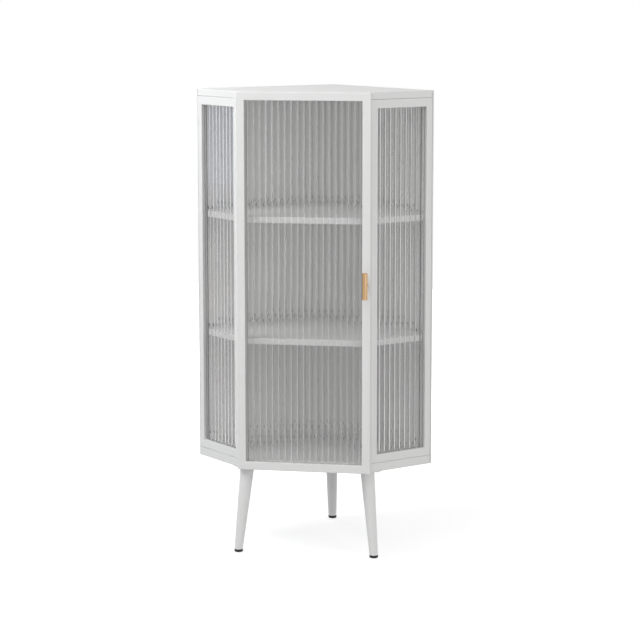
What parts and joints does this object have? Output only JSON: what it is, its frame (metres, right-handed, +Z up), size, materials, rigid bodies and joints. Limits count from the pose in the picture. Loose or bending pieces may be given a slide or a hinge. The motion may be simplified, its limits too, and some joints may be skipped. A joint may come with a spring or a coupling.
{
  "type": "corner cabinet",
  "caption": "Tall corner display cabinet with a pentagonal plan, a glazed front door between two canted glazed sides, shelves inside and leaning tapered legs.",
  "frame": {"origin": "on the floor, under the middle of the cabinet's width and depth", "axes": "+Z up; -Y is the door's side, where the user stands; +Y points into the room's corner; +X is to the right as seen from the front"},
  "size_m": [0.575, 0.4641, 1.11],
  "materials": {
    "coated_steel": "fine-texture powder coat, off-white, low sheen",
    "fluted_glass": "clear, flat outside and ribbed inside",
    "brushed_brass": "brushed",
    "zinc_plated_steel": "zinc plated",
    "white_nylon": "moulded",
    "magnet_iron": "ground",
    "black_rubber": "moulded"
  },
  "bodies": {
    "cabinet": {"bottom_panel": "coated_steel", "catch_housing": "white_nylon", "catch_magnet": "magnet_iron", "front_left_glide": "black_rubber", "front_left_leg": "coated_steel", "front_left_leg_plate": "coated_steel", "front_left_leg_screw_1": "zinc_plated_steel", "front_left_leg_screw_2": "zinc_plated_steel", "front_left_leg_screw_3": "zinc_plated_steel", "front_right_glide": "black_rubber", "front_right_leg": "coated_steel", "front_right_leg_plate": "coated_steel", "front_right_leg_screw_1": "zinc_plated_steel", "front_right_leg_screw_2": "zinc_plated_steel", "front_right_leg_screw_3": "zinc_plated_steel", "left_back_panel": "coated_steel", "left_glass_bead": "coated_steel", "left_side_frame": "coated_steel", "left_side_glass": "fluted_glass", "lower_buffer": "black_rubber", "lower_hinge_bracket": "zinc_plated_steel", "lower_hinge_pin": "zinc_plated_steel", "lower_hinge_screw_1": "zinc_plated_steel", "lower_hinge_screw_2": "zinc_plated_steel", "lower_left_front_peg": "zinc_plated_steel", "lower_left_rear_peg": "zinc_plated_steel", "lower_right_front_peg": "zinc_plated_steel", "lower_right_rear_peg": "zinc_plated_steel", "lower_shelf": "coated_steel", "rear_glide": "black_rubber", "rear_leg": "coated_steel", "rear_leg_plate": "coated_steel", "rear_leg_screw_1": "zinc_plated_steel", "rear_leg_screw_2": "zinc_plated_steel", "rear_leg_screw_3": "zinc_plated_steel", "right_back_panel": "coated_steel", "right_glass_bead": "coated_steel", "right_side_frame": "coated_steel", "right_side_glass": "fluted_glass", "top_panel": "coated_steel", "upper_buffer": "black_rubber", "upper_hinge_bracket": "zinc_plated_steel", "upper_hinge_pin": "zinc_plated_steel", "upper_hinge_screw_1": "zinc_plated_steel", "upper_hinge_screw_2": "zinc_plated_steel", "upper_left_front_peg": "zinc_plated_steel", "upper_left_rear_peg": "zinc_plated_steel", "upper_right_front_peg": "zinc_plated_steel", "upper_right_rear_peg": "zinc_plated_steel", "upper_shelf": "coated_steel"},
    "door": {"door_frame": "coated_steel", "door_glass": "fluted_glass", "door_glass_bead": "coated_steel", "handle_bar": "brushed_brass", "handle_post": "brushed_brass", "handle_screw": "zinc_plated_steel", "lower_pivot_block": "white_nylon", "upper_pivot_block": "white_nylon"}
  },
  "joints": [
    {"name": "door_hinge", "type": "hinge", "parent": "cabinet", "child": "door", "pos_m": [-0.1545, -0.19475, 0.66], "axis": [0, 0, -1], "range_deg": [0, 100]}
  ]
}
